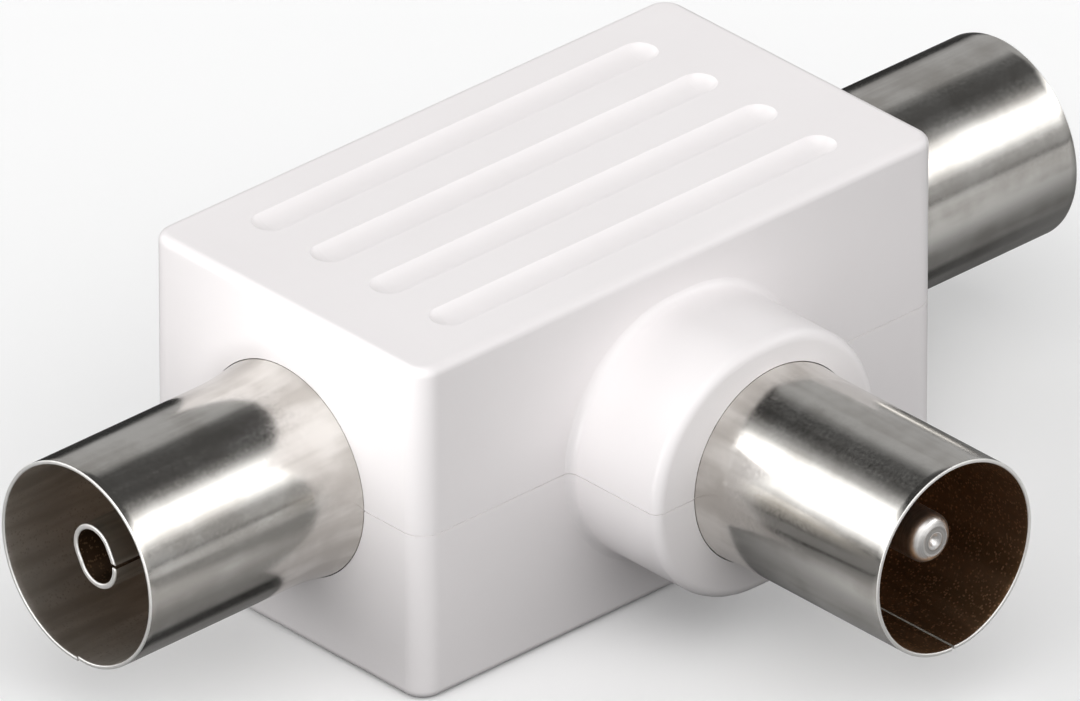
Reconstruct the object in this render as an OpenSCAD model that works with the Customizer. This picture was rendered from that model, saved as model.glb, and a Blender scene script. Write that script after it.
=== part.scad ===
// Coaxial T adapter: one plug on the side of a moulded body, one socket on each end.
// The origin is on the underside, straight below the point where the connectors' axes cross.
// +X runs through the right socket, -Y through the plug, +Z up.

/* [Body] */
// Length of the body between its two end faces
body_length = 31.8; // [30:0.1:44]
// Width of the body between its front and back faces
body_width = 17.9; // [17.6:0.1:26]
// Height of the body; the connectors' axes lie half way up
body_height = 17.0; // [16.8:0.1:24]
// How far the plug's axis lies from the middle of the body's length
plug_offset = 0.4; // [0:0.1:2]
// Radius of the four upright corners
corner_radius = 1.1; // [0.7:0.05:2]
// Radius of the edges round the top and the underside
edge_radius = 0.45; // [0.2:0.05:0.6]
// Thickness of the front and back walls
side_wall = 1.8; // [1.4:0.1:2.4]
// Thickness of the top and the floor
floor_wall = 1.8; // [1.2:0.1:2.2]
// Thickness of the end walls that hold the sockets
end_wall = 5.0; // [4.2:0.1:6]
// Width and depth of the fine line where the two shells meet
parting_line = 0.05; // [0.02:0.01:0.12]

/* [Grip grooves] */
// Number of grooves on the top and on the underside
groove_count = 4; // [2:1:4]
// Distance from one groove to the next
groove_pitch = 3.9; // [3:0.1:4]
// Width of a groove at the surface
groove_width = 1.8; // [1.2:0.1:2.6]
// Depth of a groove
groove_depth = 0.4; // [0.2:0.05:0.6]
// Distance from a groove's end to the body's end face
groove_margin = 3.7; // [2:0.1:8]

/* [Collar] */
// Thickness of the collar's wall round the seat of the plug's ring
collar_wall = 0.4; // [0.3:0.05:1.2]
// How much further the collar reaches sideways than its wall needs
collar_extra = 0.1; // [0.05:0.05:1]
// How far the collar stands out of the front face
collar_reach = 5.6; // [4:0.1:8]
// Radius of the collar's outer edge
collar_edge = 0.5; // [0.3:0.1:1]
// Radius of the hollow fillet where the collar leaves the front face
collar_root = 0.5; // [0.2:0.1:1]

/* [Pegs] */
// Diameter of the pegs that align the two shells
peg_diameter = 1.4; // [1:0.1:1.6]
// Length of a peg below the parting line
peg_length = 2.2; // [1:0.1:4]
// Radius of the bosses in the cavity's corners that carry the pegs and take them up
boss_radius = 1.3; // [1.1:0.1:1.6]

/* [Sleeves] */
// Outer diameter of the plug's sleeve
plug_diameter = 9.5; // [9.3:0.05:9.7]
// Thickness of the sheet that the sleeves are rolled from
sleeve_sheet = 0.18; // [0.12:0.01:0.3]
// Gap all round between a plug and the socket's sleeve
socket_fit = 0.02; // [0.01:0.01:0.08]
// How far a socket's sleeve stands out of the end face
socket_reach = 12.6; // [11:0.1:16]
// How far the plug's sleeve stands out of the collar
plug_reach = 11.7; // [11:0.1:16]
// Radius that the inner end of a sleeve flares out on
flare_radius = 12.5; // [11:0.5:20]
// Length of a sleeve's flare
flare_length = 4.7; // [4.2:0.1:6]
// Length of a socket's flare that shows outside the end face
socket_flare_out = 2.5; // [1:0.1:3]
// Length of the plug's flare that shows outside the collar
plug_flare_out = 1.5; // [1:0.1:3]
// Width of the seam along a socket's sleeve
socket_seam = 0.1; // [0.04:0.01:0.3]
// Width of the seam along the plug's sleeve
plug_seam = 0.25; // [0.04:0.01:0.5]

/* [Insulators] */
// Thickness of the disc that closes a sleeve
disc_thickness = 1.4; // [1:0.1:2]
// Radius of the hub behind the disc
hub_radius = 3.6; // [3.3:0.1:4]
// Radius of the neck that passes through the shells' wall
neck_radius = 3.0; // [2.4:0.1:3.2]
// Radius of the flange inside the body
flange_radius = 3.8; // [3.4:0.1:4.2]
// Thickness of that flange
flange_thickness = 0.8; // [0.5:0.1:1.5]

/* [Socket contacts] */
// Outside of the flattened contact, measured the long way
contact_long = 3.1; // [2.9:0.05:3.4]
// Outside of the flattened contact, measured the short way
contact_short = 2.5; // [2.45:0.05:2.8]
// Thickness of the contact's sheet
contact_sheet = 0.25; // [0.15:0.01:0.3]
// Lean of the contact's long way from upright, in degrees
contact_lean = 29; // [0:1:60]
// Distance from the sleeve's mouth back to the contact's tip
contact_recess = 1.1; // [0.5:0.1:3]
// Width of the slit along the contact
contact_slit = 0.15; // [0.05:0.05:0.4]
// Radius of the round shank that passes through the insulator
shank_radius = 1.2; // [1.15:0.05:1.22]
// Radius of the solder tail at the contact's inner end
tail_radius = 0.85; // [0.75:0.05:0.95]
// Length of the solder tail inside the body
tail_length = 2.5; // [1.5:0.1:3]

/* [Plug pin] */
// Diameter of the plug's centre pin
pin_diameter = 2.38; // [2.3:0.02:2.44]
// Distance from the sleeve's mouth back to the pin's tip
pin_recess = 1.25; // [0.5:0.05:3]
// Length of the rounded tip
pin_tip = 0.6; // [0.4:0.1:1.6]
// Diameter of the flat on the tip
pin_flat = 0.8; // [0.4:0.1:1.2]
// Radius of the shank behind the pin's shoulder
pin_shank = 0.95; // [0.9:0.01:1]
// How far the pin sits above the axis of its sleeve
pin_rise = 0.35; // [0:0.05:0.5]

/* [Ground frame] */
// Thickness of the stamped strip
strip_sheet = 0.3; // [0.2:0.05:0.5]
// Width of the stamped strip
strip_width = 4.0; // [2:0.1:4.4]
// Distance from the strip's underside to the edge of the plug's ring below it
strip_inset = 0.35; // [0.2:0.05:0.6]
// How far a ring reaches past the lip of its sleeve
ring_margin = 0.2; // [0.1:0.05:0.4]
// Width of a ring's face inside the lip
ring_face = 1.0; // [0.6:0.1:1.4]

/* [Wires] */
// Diameter of the wires inside the body
wire_diameter = 0.8; // [0.5:0.05:1]
// Length of wire inside a solder tail
wire_grip = 2.0; // [1:0.1:2.4]
// Radius of the solder bead where the wires meet
bead_radius = 0.95; // [0.9:0.05:1.4]
// Height of the solder cone at the end of a tail
cone_height = 0.6; // [0.3:0.1:1]
// Thickness of the solder round the wire at a cone's top
cone_rim = 0.1; // [0.05:0.05:0.2]

/* [Fits] */
// Gap between a moulded seat and the metal piece in it
seat_gap = 0.03; // [0.01:0.01:0.08]
// Gap between a shank and the bore of its insulator
bore_gap = 0.02; // [0.01:0.01:0.05]

/* [Hidden] */
// Facets of small and of large circles
$fn = 64;
fine = 256;
// A cut runs this far past the face that it goes through
past = 1;
// The collar's fillet starts this far under the face, which leaves no feather edge
root_sink = 0.02;

plastic_white = [0.94, 0.94, 0.94];
nickel = [0.74, 0.73, 0.70];
brown_board = [0.24, 0.15, 0.09];
tinned = [0.80, 0.80, 0.78];
copper = [0.80, 0.50, 0.32];

axis_height = body_height / 2;
body_middle = -plug_offset;
cavity_length = body_length - 2 * end_wall;
cavity_width = body_width - 2 * side_wall;
collar_front = body_width / 2 + collar_reach;

// Where each sleeve's mouth lies along its axis
left_mouth = body_middle - body_length / 2 - socket_reach;
right_mouth = body_middle + body_length / 2 + socket_reach;
plug_mouth = -collar_front - plug_reach;

plug_radius = plug_diameter / 2;
socket_radius = plug_radius + socket_fit + sleeve_sheet;
pin_radius = pin_diameter / 2;
wire_radius = wire_diameter / 2;

// Depths below are measured inward from a sleeve's mouth
socket_flare = socket_reach - socket_flare_out;
plug_flare = plug_reach - plug_flare_out;
socket_lip = socket_flare + flare_length;
plug_lip = plug_flare + flare_length;
socket_back = socket_reach + end_wall;
plug_back = plug_reach + collar_reach + side_wall;
socket_tail_end = socket_back + flange_thickness + tail_length;
plug_tail_end = plug_back + flange_thickness + tail_length;

// Growth of a sleeve's radius from the start of its flare to its lip
flare_growth = flare_radius - sqrt(flare_radius * flare_radius - flare_length * flare_length);
socket_ring = socket_radius + flare_growth + ring_margin;
plug_ring = plug_radius + flare_growth + ring_margin;

strip_drop = plug_ring - strip_inset;
strip_bottom = axis_height - strip_drop;

// The collar goes round the ring's seat, and is centred on the body
collar_radius = plug_ring + seat_gap + collar_wall;
collar_spread = plug_offset + collar_extra;

// Radius of the ball and bar that press a groove of the given width and depth
groove_ball = (groove_width * groove_width / 4 + groove_depth * groove_depth) / (2 * groove_depth);
// Distance between the ball centres at a groove's two ends
groove_run = body_length - 2 * groove_margin - groove_width;

// Places its children with +Z running inward from the mouth of one connector
module at_left() {
    translate([left_mouth, 0, axis_height]) rotate([0, 90, 0]) children();
}

module at_right() {
    translate([right_mouth, 0, axis_height]) rotate([0, -90, 0]) children();
}

module at_plug() {
    translate([0, plug_mouth, axis_height]) rotate([-90, 0, 0]) children();
}

// Rectangle that spans two radii and two depths in a turned profile
module band(r_in, r_out, start, end) {
    translate([r_in, start]) square([r_out - r_in, end - start]);
}

// Profile of a bar with its two top edges rounded, standing on the line y = 0
module bar_profile(width, height, edge) {
    translate([-width / 2, 0]) square([width, height - edge]);
    translate([-width / 2 + edge, 0]) square([width - 2 * edge, height]);
    for (side = [-1, 1])
        translate([side * (width / 2 - edge), height - edge]) circle(r = edge);
}

// Block with rounded upright corners and rounded top edges
module soft_block(length, width, height, corner, edge) {
    for (sx = [-1, 1], sy = [-1, 1])
        translate([sx * (length / 2 - corner), sy * (width / 2 - corner), 0])
            rotate_extrude() intersection() {
                bar_profile(2 * corner, height, edge);
                square([corner, height]);
            }
    rotate([90, 0, 90])
        linear_extrude(length - 2 * corner, center = true) bar_profile(width, height, edge);
    rotate([90, 0, 0])
        linear_extrude(width - 2 * corner, center = true) bar_profile(length, height, edge);
}

// Profile of the collar, as radius and distance in front of the body's axis; trim makes it slimmer
module collar_profile(trim) {
    radius = collar_radius - trim;
    front = collar_front - trim;
    face = body_width / 2 - trim;
    root_start = face - root_sink;
    difference() {
        band(0, radius + collar_root, face - side_wall / 2, root_start + collar_root);
        translate([radius + collar_root, root_start + collar_root]) circle(r = collar_root);
    }
    band(0, radius, face, front - collar_edge);
    band(0, radius - collar_edge, face, front);
    translate([radius - collar_edge, front - collar_edge]) circle(r = collar_edge);
}

// Half of the outer form, above the parting plane at z = 0
module half_form() {
    translate([body_middle, 0, 0]) {
        soft_block(body_length, body_width, axis_height, corner_radius, edge_radius);
        intersection() {
            rotate([90, 0, 0]) {
                for (side = [-1, 1])
                    translate([side * collar_spread, 0, 0]) rotate_extrude() collar_profile(0);
                rotate([90, 0, 90])
                    linear_extrude(2 * collar_spread, center = true) collar_profile(0);
            }
            translate([-body_length / 2, -collar_front - past, 0])
                cube([body_length, collar_front + past, axis_height]);
        }
    }
}

// One groove's pressing tool: a bar with ball ends, lying along X
module groove_tool() {
    rotate([0, 90, 0]) rotate_extrude() intersection() {
        union() {
            translate([0, -groove_run / 2]) square([groove_ball, groove_run]);
            for (side = [-1, 1])
                translate([0, side * groove_run / 2]) circle(r = groove_ball, $fn = fine);
        }
        translate([0, -body_length / 2]) square([groove_ball, body_length]);
    }
}

module grooves() {
    for (i = [0 : groove_count - 1])
        translate([body_middle, (i - (groove_count - 1) / 2) * groove_pitch,
                   axis_height - groove_depth + groove_ball])
            groove_tool();
}

// Seat that one connector needs in the shells, in that connector's own depths
module seat(sleeve_radius, flare, lip, ring, reach, back) {
    rotate_extrude() {
        difference() {
            band(0, sleeve_radius + flare_growth + seat_gap, reach - past, lip);
            translate([sleeve_radius + flare_radius, flare])
                circle(r = flare_radius - seat_gap, $fn = fine);
        }
        band(0, ring + seat_gap, lip, lip + strip_sheet);
        band(0, neck_radius + seat_gap, lip, back + past);
    }
}

module socket_seat() {
    seat(socket_radius, socket_flare, socket_lip, socket_ring, socket_reach, socket_back);
}

module plug_seat() {
    seat(plug_radius, plug_flare, plug_lip, plug_ring, plug_reach, plug_back);
}

module seats() {
    translate([0, 0, -axis_height]) {
        at_left() socket_seat();
        at_right() socket_seat();
        at_plug() plug_seat();
    }
}

// Places its children on the parting plane at each inner corner of the cavity
module at_bosses() {
    for (sx = [-1, 1], sy = [-1, 1])
        translate([body_middle + sx * cavity_length / 2, sy * cavity_width / 2, 0]) children();
}

// Room inside one half, less the four corner bosses
module cavity() {
    difference() {
        translate([body_middle, 0, axis_height / 2 - floor_wall])
            cube([cavity_length, cavity_width, axis_height], center = true);
        at_bosses() translate([0, 0, -2 * floor_wall])
            cylinder(r = boss_radius, h = 2 * floor_wall + axis_height);
    }
}

// Half of the body, above the parting plane at z = 0
module half_shell() {
    difference() {
        half_form();
        cavity();
        seats();
        grooves();
        // The step along the parting line
        difference() {
            translate([body_middle - body_length, -2 * collar_front, -past])
                cube([2 * body_length, 3 * collar_front, past + parting_line / 2]);
            translate([0, 0, -past - parting_line]) linear_extrude(2 * past) inset_outline();
        }
    }
}

// Outline of the outer form at the parting plane, drawn in by the depth of the parting line
module inset_outline() {
    length = body_length - 2 * parting_line;
    width = body_width - 2 * parting_line;
    corner = corner_radius - parting_line;
    translate([body_middle, 0]) {
        square([length, width - 2 * corner], center = true);
        square([length - 2 * corner, width], center = true);
        for (sx = [-1, 1], sy = [-1, 1])
            translate([sx * (length / 2 - corner), sy * (width / 2 - corner)]) circle(r = corner);
        for (side = [0, 1])
            mirror([side, 0]) translate([-collar_spread, 0]) rotate(180) intersection() {
                collar_profile(parting_line);
                translate([0, body_width / 2 - side_wall]) square(body_length);
            }
        translate([-collar_spread, parting_line - collar_front])
            square([2 * collar_spread, collar_reach + side_wall]);
    }
}

module pegs(radius, length) {
    at_bosses() translate([0, 0, -length]) cylinder(r = radius, h = length + past);
}

module upper_shell() {
    color(plastic_white) translate([0, 0, axis_height]) {
        half_shell();
        pegs(peg_diameter / 2, peg_length);
    }
}

// Room for the ground frame's strip from its underside up to the axes
module strip_slot() {
    width = strip_width + 2 * seat_gap;
    start = left_mouth + socket_lip;
    end = right_mouth - socket_lip;
    translate([start, -width / 2, strip_bottom - seat_gap])
        cube([end - start, width, strip_drop + seat_gap + past]);
    translate([-width / 2, plug_mouth + plug_lip, strip_bottom - seat_gap])
        cube([width, -plug_mouth - plug_lip, strip_drop + seat_gap + past]);
}

// Land on the floor that the strip lies on
module strip_bed() {
    height = strip_bottom - seat_gap - floor_wall / 2;
    translate([body_middle - cavity_length / 2 - past / 2, -strip_width / 2, floor_wall / 2])
        cube([cavity_length + past, strip_width, height]);
    translate([-strip_width / 2, -cavity_width / 2 - past / 2, floor_wall / 2])
        cube([strip_width, cavity_width / 2, height]);
}

module lower_shell() {
    color(plastic_white) {
        difference() {
            translate([0, 0, axis_height]) mirror([0, 0, 1]) half_shell();
            translate([0, 0, axis_height]) pegs(peg_diameter / 2 + seat_gap, peg_length + seat_gap);
            strip_slot();
        }
        strip_bed();
    }
}

// Tube rolled from sheet, straight from its mouth and flared at its inner end
module sleeve(radius, flare, lip, seam) {
    difference() {
        rotate_extrude($fn = fine) {
            band(radius - sleeve_sheet, radius, 0, flare);
            intersection() {
                difference() {
                    translate([radius + flare_radius, flare])
                        circle(r = flare_radius + sleeve_sheet, $fn = fine);
                    translate([radius + flare_radius, flare]) circle(r = flare_radius, $fn = fine);
                }
                band(radius - 2 * sleeve_sheet, radius + flare_growth, flare, lip);
            }
        }
        translate([0, -seam / 2, -past]) cube([2 * radius, seam, lip + 2 * past]);
    }
}

module left_socket_sleeve() {
    color(nickel) at_left() sleeve(socket_radius, socket_flare, socket_lip, socket_seam);
}

module right_socket_sleeve() {
    color(nickel) at_right()
        rotate(180) sleeve(socket_radius, socket_flare, socket_lip, socket_seam);
}

module plug_sleeve() {
    color(nickel) at_plug() rotate(90) sleeve(plug_radius, plug_flare, plug_lip, plug_seam);
}

// Stepped bush that centres a contact in its sleeve; the bore may lie off the axis
module insulator(radius, flare, lip, back, bore, rise) {
    difference() {
        rotate_extrude() {
            band(0, radius - sleeve_sheet - seat_gap, flare - disc_thickness, flare);
            band(0, hub_radius, flare, lip + strip_sheet);
            band(0, neck_radius, lip, back);
            band(0, flange_radius, back, back + flange_thickness);
        }
        translate([0, -rise, flare - disc_thickness - past])
            cylinder(r = bore, h = back + flange_thickness - flare + disc_thickness + 2 * past);
    }
}

module socket_insulator() {
    color(brown_board)
        insulator(socket_radius, socket_flare, socket_lip, socket_back, shank_radius + bore_gap, 0);
}

module left_insulator() {
    at_left() socket_insulator();
}

module right_insulator() {
    at_right() socket_insulator();
}

module plug_insulator() {
    color(brown_board) at_plug()
        insulator(plug_radius, plug_flare, plug_lip, plug_back, pin_shank + bore_gap, pin_rise);
}

// Outline with two round ends and flat sides, lying along X
module flattened(long, short) {
    square([long - short, short], center = true);
    for (side = [-1, 1])
        translate([side * (long - short) / 2, 0]) circle(d = short);
}

// Contact rolled from sheet: flattened at the tip, round through the insulator
module socket_contact() {
    disc_front = socket_flare - disc_thickness;
    rotate(-contact_lean) difference() {
        translate([0, 0, contact_recess]) linear_extrude(disc_front - contact_recess) difference() {
            flattened(contact_long, contact_short);
            flattened(contact_long - 2 * contact_sheet, contact_short - 2 * contact_sheet);
        }
        rotate(contact_lean - 90) translate([0, -contact_slit / 2, 0])
            cube([contact_long, contact_slit, disc_front - 2 * contact_sheet]);
    }
    rotate_extrude() {
        band(shank_radius - contact_sheet, shank_radius, disc_front - 2 * contact_sheet,
             socket_back + flange_thickness);
        band(wire_radius, shank_radius, socket_back, socket_back + flange_thickness);
        band(wire_radius, tail_radius, socket_back, socket_tail_end);
    }
}

module left_contact() {
    color(nickel) at_left() socket_contact();
}

module right_contact() {
    color(nickel) at_right() socket_contact();
}

// Pin turned from rod: a rounded tip with a small flat, and a drilled solder tail
module plug_pin() {
    disc_front = plug_flare - disc_thickness;
    step = pin_radius - pin_flat / 2;
    tip_curve = (step * step + pin_tip * pin_tip) / (2 * step);
    color(nickel) at_plug() translate([0, -pin_rise, 0]) difference() {
        rotate_extrude() {
            intersection() {
                translate([pin_radius - tip_curve, pin_recess + pin_tip]) circle(r = tip_curve);
                band(0, pin_radius, pin_recess, pin_recess + pin_tip);
            }
            band(0, pin_radius, pin_recess + pin_tip, disc_front);
            band(0, pin_shank, disc_front, plug_back + flange_thickness);
            band(0, tail_radius, plug_back, plug_tail_end);
        }
        translate([0, 0, plug_tail_end - wire_grip])
            cylinder(r = wire_radius, h = wire_grip + past);
    }
}

// Ring that is clamped behind a sleeve's lip, in that connector's own depths
module ground_ring(sleeve_radius, ring, lip) {
    translate([0, 0, lip]) difference() {
        cylinder(r = ring, h = strip_sheet, $fn = fine);
        translate([0, 0, -past])
            cylinder(r = sleeve_radius + flare_growth - ring_face, h = strip_sheet + 2 * past, $fn = fine);
    }
}

module ground_frame() {
    start = left_mouth + socket_lip;
    end = right_mouth - socket_lip;
    color(tinned) {
        at_left() ground_ring(socket_radius, socket_ring, socket_lip);
        at_right() ground_ring(socket_radius, socket_ring, socket_lip);
        at_plug() ground_ring(plug_radius, plug_ring, plug_lip);
        translate([start, -strip_width / 2, strip_bottom])
            cube([end - start, strip_width, strip_sheet]);
        translate([-strip_width / 2, plug_mouth + plug_lip, strip_bottom])
            cube([strip_width, -plug_mouth - plug_lip, strip_sheet]);
    }
}

// Wire between the tails of the two socket contacts
module signal_wire() {
    start = left_mouth + socket_tail_end - wire_grip;
    end = right_mouth - socket_tail_end + wire_grip;
    color(copper) translate([start, 0, axis_height]) rotate([0, 90, 0])
        cylinder(r = wire_radius, h = end - start);
}

// Wire from the plug pin's tail to the signal wire, level with the pin
module branch_wire() {
    start = plug_mouth + plug_tail_end - wire_grip;
    color(copper) translate([0, start, axis_height + pin_rise]) rotate([-90, 0, 0])
        cylinder(r = wire_radius, h = -start - wire_radius - seat_gap);
}

// Solder cone round a wire where it enters a tail, in that connector's own depths
module solder_cone(tail_end) {
    translate([0, 0, tail_end]) difference() {
        cylinder(r1 = tail_radius, r2 = wire_radius + cone_rim, h = cone_height);
        translate([0, 0, -past]) cylinder(r = wire_radius, h = cone_height + 2 * past);
    }
}

module solder_joints() {
    reach = bead_radius + past;
    color(tinned) {
        at_left() solder_cone(socket_tail_end);
        at_right() solder_cone(socket_tail_end);
        at_plug() translate([0, -pin_rise, 0]) solder_cone(plug_tail_end);
        difference() {
            translate([0, 0, axis_height + pin_rise / 2]) sphere(r = bead_radius);
            translate([-reach, 0, axis_height]) rotate([0, 90, 0])
                cylinder(r = wire_radius, h = 2 * reach);
            translate([0, -reach, axis_height + pin_rise]) rotate([-90, 0, 0])
                cylinder(r = wire_radius, h = reach - wire_radius - seat_gap);
        }
    }
}

upper_shell();
lower_shell();
left_socket_sleeve();
right_socket_sleeve();
plug_sleeve();
left_insulator();
right_insulator();
plug_insulator();
left_contact();
right_contact();
plug_pin();
ground_frame();
signal_wire();
branch_wire();
solder_joints();
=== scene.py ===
# %% [markdown]
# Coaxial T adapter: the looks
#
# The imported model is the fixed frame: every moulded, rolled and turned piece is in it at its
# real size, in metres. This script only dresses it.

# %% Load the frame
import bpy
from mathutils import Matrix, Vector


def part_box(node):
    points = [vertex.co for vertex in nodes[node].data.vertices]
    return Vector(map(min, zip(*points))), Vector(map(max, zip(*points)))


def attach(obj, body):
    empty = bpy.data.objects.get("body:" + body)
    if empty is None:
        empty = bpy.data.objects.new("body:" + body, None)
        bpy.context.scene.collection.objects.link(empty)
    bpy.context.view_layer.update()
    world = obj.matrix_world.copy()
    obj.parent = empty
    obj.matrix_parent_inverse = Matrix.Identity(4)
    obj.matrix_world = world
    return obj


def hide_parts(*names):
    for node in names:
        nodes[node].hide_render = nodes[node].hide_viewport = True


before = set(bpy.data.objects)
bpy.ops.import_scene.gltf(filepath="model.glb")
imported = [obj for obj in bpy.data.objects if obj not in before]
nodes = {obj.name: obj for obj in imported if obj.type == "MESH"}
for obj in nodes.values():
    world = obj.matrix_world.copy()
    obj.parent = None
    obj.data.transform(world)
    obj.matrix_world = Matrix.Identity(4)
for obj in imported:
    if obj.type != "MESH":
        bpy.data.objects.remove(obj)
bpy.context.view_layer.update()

import math
import bmesh
import bpy
from mathutils import Matrix, Vector


def in_mm(values, digits=2):
    """Lengths in metres as rounded millimetres, for printing."""
    return [round(1000 * value, digits) for value in values]


print("pieces in the frame:", len(nodes))

# %% [markdown]
# The sizes that the looks share with the solids
#
# Blender works in metres and the adapter in tenths of a millimetre, so each size is written
# in millimetres and scaled once. They are read from the boxes of the pieces where a box
# gives them, because a piece that is measured follows when the model changes.

# %% Sizes
MM = 0.001
LEFT_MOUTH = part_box("left_socket_sleeve")[0].x
RIGHT_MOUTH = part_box("right_socket_sleeve")[1].x
PLUG_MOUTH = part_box("plug_sleeve")[0].y
AXIS = Vector((0, 0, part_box("upper_shell")[1].z / 2))
print("mouths in mm:", *in_mm((LEFT_MOUTH, RIGHT_MOUTH, PLUG_MOUTH)))

# %% [markdown]
# Camera
#
# The photo was taken from far away with a long lens: parallel edges stay almost parallel. A
# camera could be placed by eye, but its direction was fitted to the edges of the body and the
# rims of the sleeves. So it is built from three angles, the way a tripod is set: turn,
# tilt and a trace of roll. The distance and the lens follow from the fitted scale. The fit
# had the connectors' axes at a height of their own, so the stand moves by the difference.

# %% Camera
TURN, TILT, ROLL = (math.radians(a) for a in (-43.0, 29.8326, -0.072))
SHIFT_RIGHT, SHIFT_UP, DISTANCE = -0.518 * MM, 7.3474 * MM, 1354.48 * MM
FITTED_AXIS = 8.8 * MM
LENS_PIXELS, PHOTO_WIDTH, SENSOR = 30000.0, 1080, 36.0
NEAREST_SEEN, FURTHEST_SEEN = 0.1, 60

back = Vector((math.sin(TURN) * math.cos(TILT), -math.cos(TURN) * math.cos(TILT), math.sin(TILT)))
level_right = Vector((math.cos(TURN), math.sin(TURN), 0))
level_up = back.cross(level_right)
right = level_right * math.cos(ROLL) + level_up * math.sin(ROLL)
up = level_up * math.cos(ROLL) - level_right * math.sin(ROLL)
stand = right * SHIFT_RIGHT + up * SHIFT_UP + back * DISTANCE
stand.z += AXIS.z - FITTED_AXIS

lens = bpy.data.cameras.new("studio_camera")
lens.sensor_width = SENSOR
lens.lens = LENS_PIXELS / PHOTO_WIDTH * SENSOR
lens.clip_start = NEAREST_SEEN
lens.clip_end = FURTHEST_SEEN
camera = bpy.data.objects.new("studio_camera", lens)
camera.matrix_world = Matrix((
    (right.x, up.x, back.x, stand.x),
    (right.y, up.y, back.y, stand.y),
    (right.z, up.z, back.z, stand.z),
    (0, 0, 0, 1),
))
bpy.context.scene.collection.objects.link(camera)
bpy.context.scene.camera = camera
bpy.context.scene.view_settings.view_transform = "Standard"
print("camera stands at", [round(v, 3) for v in stand], "m with a lens of", round(lens.lens), "mm")

# %% [markdown]
# Wiring helpers
#
# A material is a small network. Written out node by node it would hide what it does, so a few
# helpers do the wiring. add() makes a node and sets or links its inputs by name. The others
# are add() with one kind of node: arithmetic, a blend, a soft step, or how far something
# reaches along a line. Everything below is made with them.


# %% Wiring helpers
def add(tree, kind, inputs=None, **settings):
    """A node with its settings and inputs. An input may be a value or another node's socket."""
    node = tree.nodes.new(kind)
    for key, value in settings.items():
        setattr(node, key, value)
    for key, value in (inputs or {}).items():
        if isinstance(value, bpy.types.NodeSocket):
            tree.links.new(value, node.inputs[key])
        else:
            node.inputs[key].default_value = value
    return node


def maths(tree, operation, first, second):
    """One step of arithmetic on two values or sockets."""
    return add(tree, "ShaderNodeMath", {0: first, 1: second}, operation=operation).outputs[0]


def times(tree, first, second):
    return maths(tree, "MULTIPLY", first, second)


def plus(tree, first, second):
    return maths(tree, "ADD", first, second)


def minus(tree, first, second):
    return maths(tree, "SUBTRACT", first, second)


def blend(tree, share, first, second):
    """From the first value to the second while share goes from 0 to 1."""
    return add(
        tree, "ShaderNodeMix", {0: share, 2: first, 3: second}, data_type="FLOAT"
    ).outputs[0]


def ramp(tree, value, start, end, low=0.0, high=1.0):
    """A soft step from low to high while value goes from start to end."""
    return add(
        tree, "ShaderNodeMapRange",
        {"Value": value, "From Min": start, "From Max": end, "To Min": low, "To Max": high},
        interpolation_type="SMOOTHSTEP",
    ).outputs["Result"]


def along(tree, reach, line):
    """How far a place or a direction reaches along a line."""
    return add(
        tree, "ShaderNodeVectorMath", {0: reach, 1: line}, operation="DOT_PRODUCT"
    ).outputs["Value"]


def light_path(tree):
    """The light path's outputs, and 1 for what the camera sees directly or through glass."""
    path = add(tree, "ShaderNodeLightPath").outputs
    return path, maths(tree, "MAXIMUM", path["Is Camera Ray"], path["Is Transmission Ray"])


def blank(holder):
    """An empty network on a material or world."""
    holder.use_nodes = True
    holder.node_tree.nodes.clear()
    return holder.node_tree


print("wiring helpers ready")

# %% [markdown]
# Studio
#
# The photo is a catalogue picture. Here its light comes from a softbox on each side of the
# camera, strongest about 30 degrees up, one overhead and a soft light from the front, in a
# grey room with a dark ceiling. The rolled nickel shows all of it as bands along each
# sleeve. Lamps would give hard-edged bands, so the softboxes are soft patches in the world
# instead, which lie in the same direction from every point. The directions are measured
# along three lines: sideways to the camera, away from the camera on the level, and up. The
# camera itself sees an even pale backdrop instead of the room.

# %% Studio light
OVERHEAD = Vector((-0.30, -0.34, 0.90)).normalized()
CEILING_LEAN = 0.05
BACKDROP = 0.97

world = bpy.data.worlds.new("studio")
bpy.context.scene.world = world
tree = blank(world)
direction = add(tree, "ShaderNodeTexCoord").outputs["Generated"]
away_level = Vector((-back.x, -back.y, 0)).normalized()
sideways = along(tree, direction, level_right)
away = along(tree, direction, away_level)
height = along(tree, direction, Vector((0, 0, 1)))

# The room is dark up to the horizon, more so on the left. The ceiling leans a little, and is
# dark away from the camera.
horizon = ramp(tree, sideways, -0.10, 0.12, 0.02, 0.17)
room = blend(tree, ramp(tree, height, -0.01, 0.11), horizon, 0.43)
leaned = plus(tree, height, times(tree, sideways, CEILING_LEAN))
ceiling = ramp(tree, leaned, 0.675, 0.75)
dark = times(tree, ceiling, ramp(tree, away, -0.5, 0.1, 0.2, 1.0))
gloom = ramp(tree, sideways, -0.4, 0.2, 0.045, 0.09)
room = blend(tree, dark, room, gloom)


def softbox(side, foot, head, strength):
    """A tall soft patch on one side of the camera, fading in at its foot and out at its head."""
    wide = ramp(tree, times(tree, sideways, side), 0.50, 0.78)
    upright = times(tree, ramp(tree, height, *foot), ramp(tree, height, *head, 1.0, 0.0))
    return times(tree, times(tree, wide, upright), strength)


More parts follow.
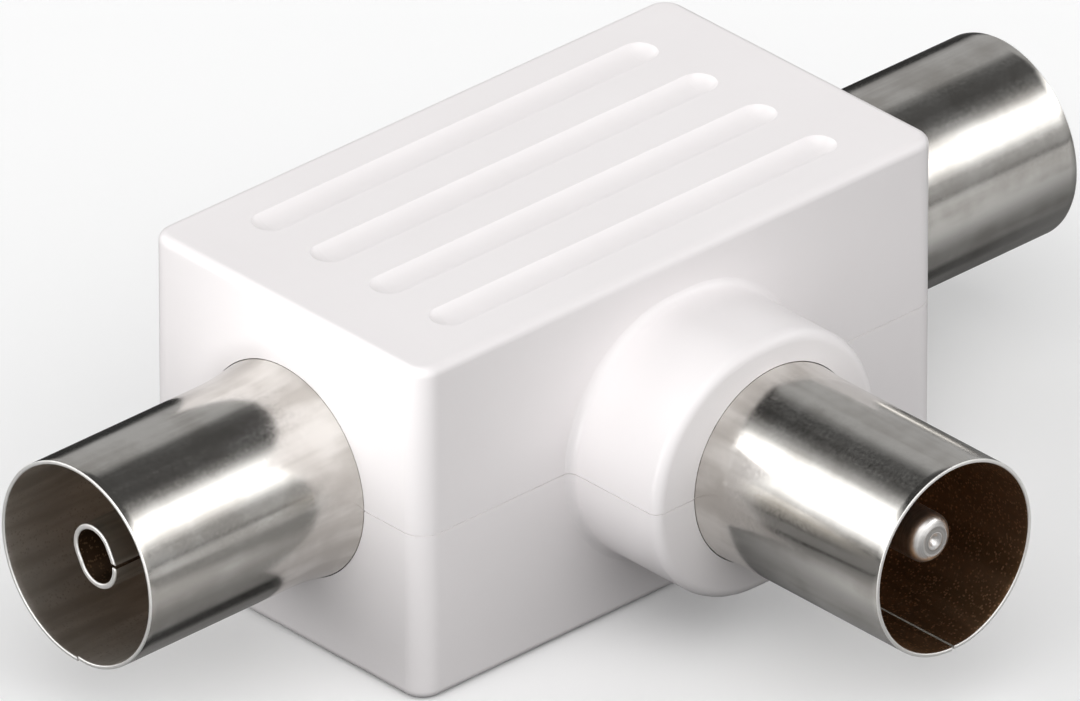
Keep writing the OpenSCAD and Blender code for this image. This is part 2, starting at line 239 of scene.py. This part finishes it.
left_box = softbox(-1, (0.05, 0.40), (0.56, 0.72), 2.4)
right_box = softbox(1, (0.22, 0.60), (0.47, 0.84), 2.7)
over = ramp(tree, along(tree, direction, OVERHEAD), 0.80, 0.95, 0.0, 1.1)
front = times(
    tree, ramp(tree, away, -0.25, -0.75), ramp(tree, height, -0.05, 0.15, 0.0, 0.66)
)
strength = room
for part in (left_box, right_box, over, front):
    strength = plus(tree, strength, part)
seen = light_path(tree)[1]
strength = blend(tree, seen, strength, BACKDROP)
glow = add(tree, "ShaderNodeBackground", {"Color": (1, 1, 1, 1), "Strength": strength})
add(tree, "ShaderNodeOutputWorld", {"Surface": glow.outputs[0]})
print("world: grey room, dark ceiling, softboxes left, right and overhead, and a front light")

# %% [markdown]
# Key light
#
# The left end of the body is brightest at its top edge and fades downward, faster than any
# far lamp could make it. A softbox with a grid does that: it lights a patch no wider than its
# beam, and the patch fades toward its edge. An area lamp has the same control, its
# spread. It stands low and looks slightly up, past the top edge, so the top gets none of it.

# %% Key light
KEY_PLACE = (-170 * MM, -6 * MM, 10 * MM)
KEY_TURN = math.radians(-95.6)

lamp = bpy.data.lights.new("gridded_key", "AREA")
lamp.shape = "DISK"
lamp.size = 20 * MM
lamp.spread = math.radians(17)
lamp.energy = 0.0016
key = bpy.data.objects.new("gridded_key", lamp)
key.matrix_world = Matrix.Translation(KEY_PLACE) @ Matrix.Rotation(KEY_TURN, 4, "Y")
key.visible_camera = False
bpy.context.scene.collection.objects.link(key)
print("key light off the left end, at", in_mm(KEY_PLACE, 0), "mm")

# %% [markdown]
# Floor
#
# The adapter stands on a pale sheet. A white sheet would throw light up at the underside,
# which is dark in the photo, so the sheet is pale for the eye, grey for the light that it
# scatters, and has tones of its own for the metal that mirrors it. Those tones are painted
# shade: they fall from the front toward the adapter as a painted shadow, darker still under
# the plug, and behind it they are painted dark, which gives each sleeve its thin dark upper
# edge. A painted line of shadow lies in line with the sockets, and gives each its dark line
# low down.

# %% Floor
FLOOR_HALF, FLOOR_GAP = 3.0, 0.02 * MM
SEEN_TONE, SCATTER_TONE, SEEN_LIFT = 0.93, 0.14, 0.05
# The painted line of shadow under the sockets: how far in front of their axis it lies, and how
# much it darkens
SHADOW_LINE_OFFSET, SHADOW_LINE_DARKNESS = 4.6 * MM, 0.85

mesh = bmesh.new()
bmesh.ops.create_grid(mesh, x_segments=1, y_segments=1, size=FLOOR_HALF)
floor_mesh = bpy.data.meshes.new("floor")
mesh.to_mesh(floor_mesh)
mesh.free()
floor_mesh.transform(Matrix.Translation((0, 0, -FLOOR_GAP)))
floor = bpy.data.objects.new("floor", floor_mesh)
bpy.context.scene.collection.objects.link(floor)

sheet = bpy.data.materials.new("pale_sheet")
tree = blank(sheet)
path, seen = light_path(tree)
place = add(tree, "ShaderNodeTexCoord").outputs["Object"]
across = add(tree, "ShaderNodeSeparateXYZ", {0: place}).outputs
side = maths(tree, "ABSOLUTE", across["X"], 0.0)

# In front: painted shade, paler toward the camera and darker toward the adapter, under the plug
# and along a painted line of shadow in line with the sockets
front_painted_shade = ramp(tree, across["Y"], -18 * MM, -8 * MM, 0.62, 0.28)
front_painted_shade = times(tree, front_painted_shade, ramp(tree, side, 6 * MM, 14 * MM, 0.55, 1.0))
from_shadow_line = maths(tree, "ABSOLUTE", plus(tree, across["Y"], SHADOW_LINE_OFFSET), 0.0)
painted_shadow_line = times(
    tree, ramp(tree, from_shadow_line, 2.0 * MM, 0.6 * MM), ramp(tree, side, 13 * MM, 16 * MM)
)
front_painted_shade = times(tree, front_painted_shade, minus(tree, 1.0, times(tree, painted_shadow_line, SHADOW_LINE_DARKNESS)))

# Behind: painted dark for the metal to mirror, and a little less so on the right
deep = along(tree, place, away_level)
level = along(tree, place, level_right)
back_painted_dark = ramp(tree, level, 10 * MM, 26 * MM, 0.03, 0.20)
behind = ramp(tree, deep, 6 * MM, 24 * MM)

tone = blend(tree, behind, front_painted_shade, back_painted_dark)
tone = blend(tree, path["Is Glossy Ray"], SCATTER_TONE, tone)
tone = blend(tree, seen, tone, SEEN_TONE)
paper = add(tree, "ShaderNodeBsdfDiffuse", {"Color": tone})
lift = add(tree, "ShaderNodeEmission", {"Strength": times(tree, seen, SEEN_LIFT)})
both = add(tree, "ShaderNodeAddShader", {0: paper.outputs[0], 1: lift.outputs[0]})
add(tree, "ShaderNodeOutputMaterial", {"Surface": both.outputs[0]})
floor_mesh.materials.append(sheet)
print("floor:", round(2 * FLOOR_HALF), "m square, just under the adapter")

# %% [markdown]
# Effects that several finishes share
#
# No real surface is even. Moulded plastic has a faint cloudiness, rolled strip has lines
# along the direction it was drawn in, and everything that lay in a drawer has specks.
# Each effect is one node group with its own values in each material, so a finish is put
# together from effects instead of being painted from scratch.


# %% Effect groups
def group(name, inputs, outputs):
    """A new node group: inputs are (name, kind, default), outputs are (name, kind)."""
    made = bpy.data.node_groups.new(name, "ShaderNodeTree")
    for label, kind, default in inputs:
        made.interface.new_socket(label, in_out="INPUT", socket_type=kind).default_value = default
    for label, kind in outputs:
        made.interface.new_socket(label, in_out="OUTPUT", socket_type=kind)
    return made, add(made, "NodeGroupInput").outputs


def noise(tree, place, scale, detail):
    """Soft noise from 0 to 1."""
    return add(
        tree, "ShaderNodeTexNoise", {"Vector": place, "Scale": scale, "Detail": detail}
    ).outputs["Fac"]


FLOAT, VECTOR = "NodeSocketFloat", "NodeSocketVector"

# Cloudiness: large soft patches, and a fine grain to go with them
clouds, given = group(
    "clouds",
    [("Place", VECTOR, (0, 0, 0)), ("Scale", FLOAT, 150.0)],
    [("Mask", FLOAT), ("Grain", FLOAT)],
)
soft = noise(clouds, given["Place"], given["Scale"], 3.0)
fine = noise(clouds, given["Place"], times(clouds, given["Scale"], 14.0), 2.0)
add(clouds, "NodeGroupOutput", {"Mask": soft, "Grain": fine})

# Draw lines: noise stretched along one direction
lines, given = group(
    "draw_lines",
    [("Place", VECTOR, (0, 0, 0)), ("Stretch", VECTOR, (1, 1, 1)), ("Scale", FLOAT, 900.0)],
    [("Mask", FLOAT), ("Coarse", FLOAT)],
)
stretched = add(
    lines, "ShaderNodeVectorMath", {0: given["Place"], 1: given["Stretch"]}, operation="MULTIPLY"
).outputs[0]
thin = noise(lines, stretched, given["Scale"], 4.0)
coarse = noise(lines, stretched, times(lines, given["Scale"], 0.25), 2.0)
add(lines, "NodeGroupOutput", {"Mask": thin, "Coarse": coarse})

# Specks: small spots on about a quarter of the cells
specks, given = group(
    "specks",
    [("Place", VECTOR, (0, 0, 0)), ("Scale", FLOAT, 1500.0), ("Size", FLOAT, 0.2)],
    [("Mask", FLOAT)],
)
cells = add(specks, "ShaderNodeTexVoronoi", {"Vector": given["Place"], "Scale": given["Scale"]})
spot = add(
    specks, "ShaderNodeMapRange",
    {
        "Value": cells.outputs["Distance"],
        "From Min": times(specks, given["Size"], 0.6), "From Max": given["Size"],
        "To Min": 1.0, "To Max": 0.0,
    },
).outputs["Result"]
chance = add(specks, "ShaderNodeSeparateColor", {0: cells.outputs["Color"]}).outputs[0]
chosen = ramp(specks, chance, 0.72, 0.80)
add(specks, "NodeGroupOutput", {"Mask": times(specks, spot, chosen)})
print("effect groups:", clouds.name, lines.name, specks.name)


# %% [markdown]
# Finish helpers
#
# A finish starts as the Principled shader with its plain numbers on its own sockets. What
# varies over the surface is then linked in: a colour between two tones, a roughness
# between two values, and a height for the bump.


# %% Finish helpers
def finish(name, metallic, **plain):
    """A material with a Principled shader, and the place on the piece as a socket."""
    made = bpy.data.materials.new(name)
    net = blank(made)
    shader = add(net, "ShaderNodeBsdfPrincipled", {"Metallic": metallic, **plain})
    add(net, "ShaderNodeOutputMaterial", {"Surface": shader.outputs[0]})
    place = add(net, "ShaderNodeTexCoord").outputs["Object"]
    return made, net, shader, place


def place_effect(net, effect, **values):
    """An effect group's outputs. The group is set first, because its inputs come with it."""
    return add(net, "ShaderNodeGroup", values, node_tree=effect).outputs


def tint(net, shader, mask, first, second):
    """Base colour from first to second where mask goes from 0 to 1."""
    colours = {6: (*first, 1), 7: (*second, 1)}
    mixed = add(net, "ShaderNodeMix", {0: mask, **colours}, data_type="RGBA").outputs[2]
    net.links.new(mixed, shader.inputs["Base Color"])
    return mixed


def speckle(net, shader, mask, ground, spots):
    """Spots of one colour over a ground that tint() made."""
    spotted = add(net, "ShaderNodeMix", {0: mask, 6: ground, 7: (*spots, 1)}, data_type="RGBA")
    net.links.new(spotted.outputs[2], shader.inputs["Base Color"])


def roughen(net, shader, mask, smooth, rough):
    """Roughness from smooth to rough where mask goes from 0 to 1."""
    spread = add(net, "ShaderNodeMapRange", {"Value": mask, "To Min": smooth, "To Max": rough})
    net.links.new(spread.outputs[0], shader.inputs["Roughness"])


def emboss(net, shader, height, depth):
    """A bump of the given depth in metres."""
    bump = add(net, "ShaderNodeBump", {"Height": height, "Distance": depth, "Strength": 1.0})
    net.links.new(bump.outputs[0], shader.inputs["Normal"])


def dress(material, *names):
    """Gives CAD nodes a finish. Their meshes stay as they are."""
    for name in names:
        slots = nodes[name].material_slots
        if not slots:
            nodes[name].data.materials.append(material)
        for slot in slots:
            slot.material = material
    print(material.name, "->", ", ".join(names))


print("finish helpers ready")

# %% [markdown]
# White moulded plastic
#
# The body is an opaque white styrene. In the photo it is nearly white with a trace of pink,
# satin rather than glossy: the softboxes show only as pale glows on the rounded edges.
# A faint cloudiness and a fine grain keep it from looking like plain paint.

# %% White plastic
white, net, shader, place = finish("white_styrene", 0.0, IOR=1.49)
cloud = place_effect(net, clouds, Place=place, Scale=160.0)
tint(net, shader, cloud["Mask"], (0.862, 0.830, 0.832), (0.905, 0.874, 0.877))
roughen(net, shader, cloud["Grain"], 0.30, 0.42)
emboss(net, shader, cloud["Grain"], 0.004 * MM)
dress(white, "upper_shell", "lower_shell")

# %% [markdown]
# Nickel on the rolled sleeves
#
# Each sleeve is strip, rolled to a tube and plated. The strip's lines run along the tube, so
# the bands of light are broken into fine streaks that follow the axis. The sockets lie
# along X and the plug along Y, so each has its own stretch. Inside, the plating is thin and
# dull: grey in the sockets and brown with lighter spots in the plug. In the contacts' narrow
# bores it is painted dark brown, as painted shade.


# %% Nickel
def nickel(name, stretch):
    made, net, shader, place = finish(name, 1.0)
    line = place_effect(net, lines, Place=place, Stretch=stretch, Scale=2600.0)
    broad = place_effect(net, lines, Place=place, Stretch=stretch, Scale=700.0)
    cloud = place_effect(net, clouds, Place=place, Scale=420.0)
    worn = plus(net, times(net, broad["Mask"], 0.6), times(net, cloud["Mask"], 0.4))
    tint(net, shader, ramp(net, worn, 0.40, 0.60), (0.755, 0.735, 0.70), (0.56, 0.535, 0.50))
    roughen(net, shader, times(net, line["Mask"], cloud["Grain"]), 0.08, 0.40)
    emboss(net, shader, plus(net, line["Mask"], times(net, broad["Mask"], 1.6)), 0.0012 * MM)
    return made


def thin_plating(name, stretch, light, dull, spots):
    made, net, shader, place = finish(name, 1.0)
    line = place_effect(net, lines, Place=place, Stretch=stretch, Scale=900.0)
    speck = place_effect(net, specks, Place=place, Scale=9000.0, Size=0.62)
    ground = tint(net, shader, ramp(net, line["Mask"], 0.35, 0.65), light, dull)
    speckle(net, shader, speck["Mask"], ground, spots)
    roughen(net, shader, line["Coarse"], 0.30, 0.52)
    emboss(net, shader, line["Mask"], 0.002 * MM)
    return made


nickel_x = nickel("nickel_along_x", (0.04, 1.0, 1.0))
nickel_y = nickel("nickel_along_y", (1.0, 0.04, 1.0))
inside_x = thin_plating(
    "socket_inside", (0.12, 1.0, 1.0), (0.80, 0.76, 0.71), (0.58, 0.54, 0.49), (0.64, 0.60, 0.55)
)
inside_y = thin_plating(
    "plug_inside", (1.0, 0.12, 1.0), (0.46, 0.29, 0.17), (0.32, 0.19, 0.10), (0.78, 0.50, 0.30)
)
# The contacts' bores: a plating painted dark brown, as painted shade deep in the narrow bore
contact_bore_painted_shade = thin_plating(
    "contact_inside_painted_shade", (0.12, 1.0, 1.0),
    (0.16, 0.105, 0.065), (0.10, 0.062, 0.036), (0.30, 0.20, 0.12),
)

# Where strip was cut its edge is fresh metal: brighter than the plating, and satin
cut_edge, net, shader, place = finish("cut_edge", 1.0)
cloud = place_effect(net, clouds, Place=place, Scale=900.0)
tint(net, shader, cloud["Mask"], (0.97, 0.96, 0.94), (0.86, 0.84, 0.81))
roughen(net, shader, cloud["Grain"], 0.40, 0.60)
print("nickel: two outside, three inside, and the cut edge")

# %% [markdown]
# Blunted mouths
#
# The cut edge of real strip is a little blunt, and the light catches it. The sleeves and the
# socket contacts share that step: the mouth's edges are picked by how sharply they fold and
# by where they lie, and are rounded. The finished mesh then becomes a piece with three
# metals: outside, inside and the fresh edge.


# %% Mouth helpers
OUTSIDE, INSIDE, FRESH = 0, 1, 2


def blunt_mouth(mesh, least_fold, at_mouth, width):
    """Rounds the folds whose ends are both at the mouth, and returns how many there were."""
    rim = [
        edge for edge in mesh.edges
        if len(edge.link_faces) == 2 and edge.calc_face_angle(0) > least_fold
        and all(at_mouth(vert.co) for vert in edge.verts)
    ]
    bmesh.ops.bevel(
        mesh, geom=rim, offset=width, segments=3, profile=0.5, affect="EDGES", material=-1,
        clamp_overlap=True,
    )
    return len(rim)


def make_piece(mesh, name, crease, metals):
    """An object from a finished mesh, with the metals in the order outside, inside, fresh."""
    data = bpy.data.meshes.new(name)
    mesh.to_mesh(data)
    mesh.free()
    data.set_sharp_from_angle(angle=crease)
    for metal in metals:
        data.materials.append(metal)
    piece = bpy.data.objects.new(name, data)
    bpy.context.scene.collection.objects.link(piece)
    return piece


print("mouth helpers ready")

# %% [markdown]
# The rolled sleeves
#
# A sleeve starts as flat strip. Its edges are blunted, it is rolled until its edges meet, and
# its inner end is flared over a cone. The solid model has the tube with sharp edges and a
# seam wide enough to build. Here the strip's own outline is spun almost all the way round,
# so that the seam is a hairline, then gets its thickness, and its mouth is rounded with
# bevels. On the left socket, and a little on the plug, one edge of the strip sits inward of
# the other.

# %% Rolled sleeves
SHEET, FLARE_CURVE, FLARE_LENGTH = 0.18 * MM, 12.5 * MM, 4.7 * MM
SOCKET_RADIUS, PLUG_RADIUS = 4.95 * MM, 4.75 * MM
FLARE_STEPS, ROUND_STEPS = 14, 176
# The edge that sits inward bends back over this angle, and over this length
LEAN_ANGLE, LEAN_LENGTH = 0.30, 5 * MM
# How deep the square mouth and then the rounded one can lie, and the width of its rounding
SQUARE_MOUTH, ROUND_MOUTH, MOUTH_ROUNDING = 0.01 * MM, 0.07 * MM, 0.055 * MM
# A face that looks inward by more than this share is on the inside
INWARD_SHARE = 0.3
# The least fold that is rounded, in radians, and the least that is shaded as a sharp line
MOUTH_FOLD, MOUTH_CREASE = 1.0, math.radians(40)


def stand_at(mouth, inward):
    """Puts local +Z inward from a mouth and local +X down, where every seam is."""
    down = Vector((0, 0, -1))
    sideward = inward.cross(down)
    turn = Matrix((down, sideward, inward)).transposed().to_4x4()
    return Matrix.Translation(mouth) @ turn


def strip_outline(mesh, radius, length):
    """The strip's outer line from the mouth to the flared end, as a chain of edges."""
    flare = length - FLARE_LENGTH
    depths = [0, 0.4 * MM, flare * 0.5, flare]
    depths += [flare + FLARE_LENGTH * step / FLARE_STEPS for step in range(1, FLARE_STEPS + 1)]
    chain = []
    for depth in depths:
        into_flare = max(0.0, depth - flare)
        growth = FLARE_CURVE - math.sqrt(FLARE_CURVE ** 2 - into_flare ** 2)
        chain.append(mesh.verts.new((radius + growth, 0, depth)))
    return [mesh.edges.new(pair) for pair in zip(chain, chain[1:])]


def rolled_sleeve(node, mouth, inward, radius, gap, inset, outside, inside):
    mesh = bmesh.new()
    length = (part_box(node)[1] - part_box(node)[0]).dot(Vector([abs(v) for v in inward]))
    edges = strip_outline(mesh, radius, length)
    slant = gap / 2 / radius
    bmesh.ops.rotate(mesh, verts=mesh.verts, cent=(0, 0, 0), matrix=Matrix.Rotation(slant, 3, "Z"))
    bmesh.ops.spin(
        mesh, geom=list(mesh.verts) + edges, cent=(0, 0, 0), axis=(0, 0, 1),
        angle=2 * math.pi - 2 * slant, steps=ROUND_STEPS, use_merge=False, use_duplicate=False,
    )
    # One edge of the strip stands a little inward at the mouth, and less so further in
    for vert in mesh.verts:
        angle = math.atan2(vert.co.y, vert.co.x)
        if -LEAN_ANGLE < angle < 0:
            fade = (1 + angle / LEAN_ANGLE) ** 2 * max(0.0, 1 - vert.co.z / LEAN_LENGTH)
            vert.co.xy *= 1 - inset * fade / radius
    sample = min(mesh.faces, key=lambda face: face.calc_center_median().z)
    if sample.normal.xy.dot(sample.calc_center_median().xy) < 0:
        bmesh.ops.reverse_faces(mesh, faces=mesh.faces)
    bmesh.ops.solidify(mesh, geom=list(mesh.faces), thickness=SHEET)
    for face in mesh.faces:
        spoke = face.calc_center_median().xy
        looks_in = face.normal.xy.dot(spoke) < -INWARD_SHARE * spoke.length
        face.material_index = INSIDE if looks_in else OUTSIDE
    blunt_mouth(mesh, MOUTH_FOLD, lambda place: place.z < SQUARE_MOUTH, MOUTH_ROUNDING)
    for face in mesh.faces:
        face.smooth = True
        if all(vert.co.z < ROUND_MOUTH for vert in face.verts):
            face.material_index = FRESH
    bmesh.ops.transform(mesh, matrix=stand_at(mouth, inward), verts=mesh.verts)
    metals = (outside, inside, cut_edge)
    piece = make_piece(mesh, node + "_rolled", MOUTH_CREASE, metals)
    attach(piece, "root")
    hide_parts(node)
    print(piece.name, len(piece.data.polygons), "faces, length", *in_mm([length]), "mm")


rolled_sleeve("left_socket_sleeve", Vector((LEFT_MOUTH, 0, AXIS.z)), Vector((1, 0, 0)),
              SOCKET_RADIUS, 0.03 * MM, 0.10 * MM, nickel_x, inside_x)
rolled_sleeve("right_socket_sleeve", Vector((RIGHT_MOUTH, 0, AXIS.z)), Vector((-1, 0, 0)),
              SOCKET_RADIUS, 0.03 * MM, 0.0, nickel_x, inside_x)
rolled_sleeve("plug_sleeve", Vector((0, PLUG_MOUTH, AXIS.z)), Vector((0, 1, 0)),
              PLUG_RADIUS, 0.10 * MM, 0.04 * MM, nickel_y, inside_y)

# %% [markdown]
# The metal of the contacts and the pin
#
# The socket contacts are rolled from bright strip, so their lines run along them. The pin
# is turned from rod: the tool leaves fine rings round its axis, which break up the light.
# The rings come from the distance to the axis, so they run round the side and also lie as
# circles on the tip, where the tool left a shallow step round the middle. The ring of that
# step is also painted darker, as a painted dark reflection.

# %% Contact metal and pin
strip_metal, net, shader, place = finish("contact_strip", 1.0)
line = place_effect(net, lines, Place=place, Stretch=(0.08, 1.0, 1.0), Scale=2500.0)
tint(net, shader, line["Coarse"], (0.80, 0.78, 0.75), (0.70, 0.68, 0.64))
roughen(net, shader, line["Mask"], 0.12, 0.24)
emboss(net, shader, line["Mask"], 0.0006 * MM)

rod, net, shader, place = finish("turned_rod", 1.0)
PIN_AXIS = (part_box("plug_pin")[0].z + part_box("plug_pin")[1].z) / 2
split = add(net, "ShaderNodeSeparateXYZ", {0: place}).outputs
rise = minus(net, split["Z"], PIN_AXIS)
squares = plus(net, times(net, split["X"], split["X"]), times(net, rise, rise))
ring = maths(net, "POWER", squares, 0.5)
turned = add(net, "ShaderNodeCombineXYZ", {"X": ring, "Y": split["Y"]}).outputs[0]
line = place_effect(net, lines, Place=turned, Stretch=(1.0, 1.0, 1.0), Scale=8000.0)
# The tool's step on the tip: a shallow groove in the bump, and a ring painted darker as a painted
# dark reflection
step = times(
    net, ramp(net, ring, 0.40 * MM, 0.47 * MM), ramp(net, ring, 0.72 * MM, 0.60 * MM)
)
streaks_and_painted_ring = plus(net, ramp(net, line["Mask"], 0.35, 1.0), times(net, step, 0.7))
tint(net, shader, streaks_and_painted_ring, (0.86, 0.84, 0.82), (0.42, 0.40, 0.38))
roughen(net, shader, line["Mask"], 0.22, 0.40)
emboss(net, shader, minus(net, line["Mask"], times(net, step, 9.0)), 0.0016 * MM)
dress(rod, "plug_pin")

# %% [markdown]
# The socket contacts
#
# The contact's edge is the brightest thing in the left socket: blunted strip that catches the
# light all the way round. The solid has it square. A copy of the solid is merged, because
# a solid's mesh is loose triangles, and then only the two edges of its mouth are
# bevelled.

# %% Blunted contacts
# Corners this close are one corner, and how far from the tip the square tip's corners can lie
SAME_PLACE, SQUARE_TIP = 0.0005 * MM, 0.003 * MM
# How deep the rounded tip can lie, and the width of its rounding
ROUND_TIP, TIP_ROUNDING = 0.11 * MM, 0.09 * MM
TIP_FOLD, TIP_CREASE = 0.8, math.radians(38)


def blunted_contact(node, tip):
    mesh = bmesh.new()
    mesh.from_mesh(nodes[node].data)
    bmesh.ops.remove_doubles(mesh, verts=mesh.verts, dist=SAME_PLACE)
    count = blunt_mouth(
        mesh, TIP_FOLD, lambda place: abs(place.x - tip) < SQUARE_TIP, TIP_ROUNDING
    )
    for face in mesh.faces:
        face.smooth = True
        centre = face.calc_center_median()
        spoke = Vector((0, centre.y, centre.z)) - AXIS
        if all(abs(vert.co.x - tip) < ROUND_TIP for vert in face.verts):
            face.material_index = FRESH
        elif face.normal.dot(spoke) < 0:
            face.material_index = INSIDE
    # The inward faces take the dark plating, which is painted shade in the bore
    metals = (strip_metal, contact_bore_painted_shade, cut_edge)
    piece = make_piece(mesh, node + "_blunted", TIP_CREASE, metals)
    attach(piece, "root")
    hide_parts(node)
    print(piece.name, len(piece.data.polygons), "faces, bevelled edges:", count)


blunted_contact("left_contact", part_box("left_contact")[0].x)
blunted_contact("right_contact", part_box("right_contact")[1].x)

# %% [markdown]
# The insulators and the inside
#
# The stepped bushes are pressed brown board: dull, speckled with lighter fibre. The wires,
# the ground strip and the solder are shut inside the body. They get the plain finish of
# their metal, because the shells can be opened in a viewer.

# %% Board, copper and tin
board, net, shader, place = finish("brown_board", 0.0)
cloud = place_effect(net, clouds, Place=place, Scale=300.0)
speck = place_effect(net, specks, Place=place, Scale=2600.0, Size=0.30)
ground = tint(net, shader, cloud["Mask"], (0.085, 0.055, 0.034), (0.13, 0.085, 0.052))
speckle(net, shader, speck["Mask"], ground, (0.20, 0.13, 0.08))
roughen(net, shader, cloud["Grain"], 0.55, 0.8)
emboss(net, shader, cloud["Grain"], 0.01 * MM)
dress(board, "left_insulator", "right_insulator", "plug_insulator")


def plain_metal(name, light, dull, smooth, rough, scale):
    made, net, shader, place = finish(name, 1.0)
    cloud = place_effect(net, clouds, Place=place, Scale=scale)
    tint(net, shader, cloud["Mask"], light, dull)
    roughen(net, shader, cloud["Grain"], smooth, rough)
    return made


copper = plain_metal("copper_wire", (0.86, 0.47, 0.30), (0.70, 0.34, 0.20), 0.20, 0.34, 500.0)
tinned = plain_metal("tinned_strip", (0.70, 0.70, 0.69), (0.58, 0.58, 0.57), 0.30, 0.45, 220.0)
solder = plain_metal("solder", (0.66, 0.66, 0.67), (0.52, 0.52, 0.53), 0.16, 0.34, 350.0)
dress(copper, "signal_wire", "branch_wire")
dress(tinned, "ground_frame")
dress(solder, "solder_joints")
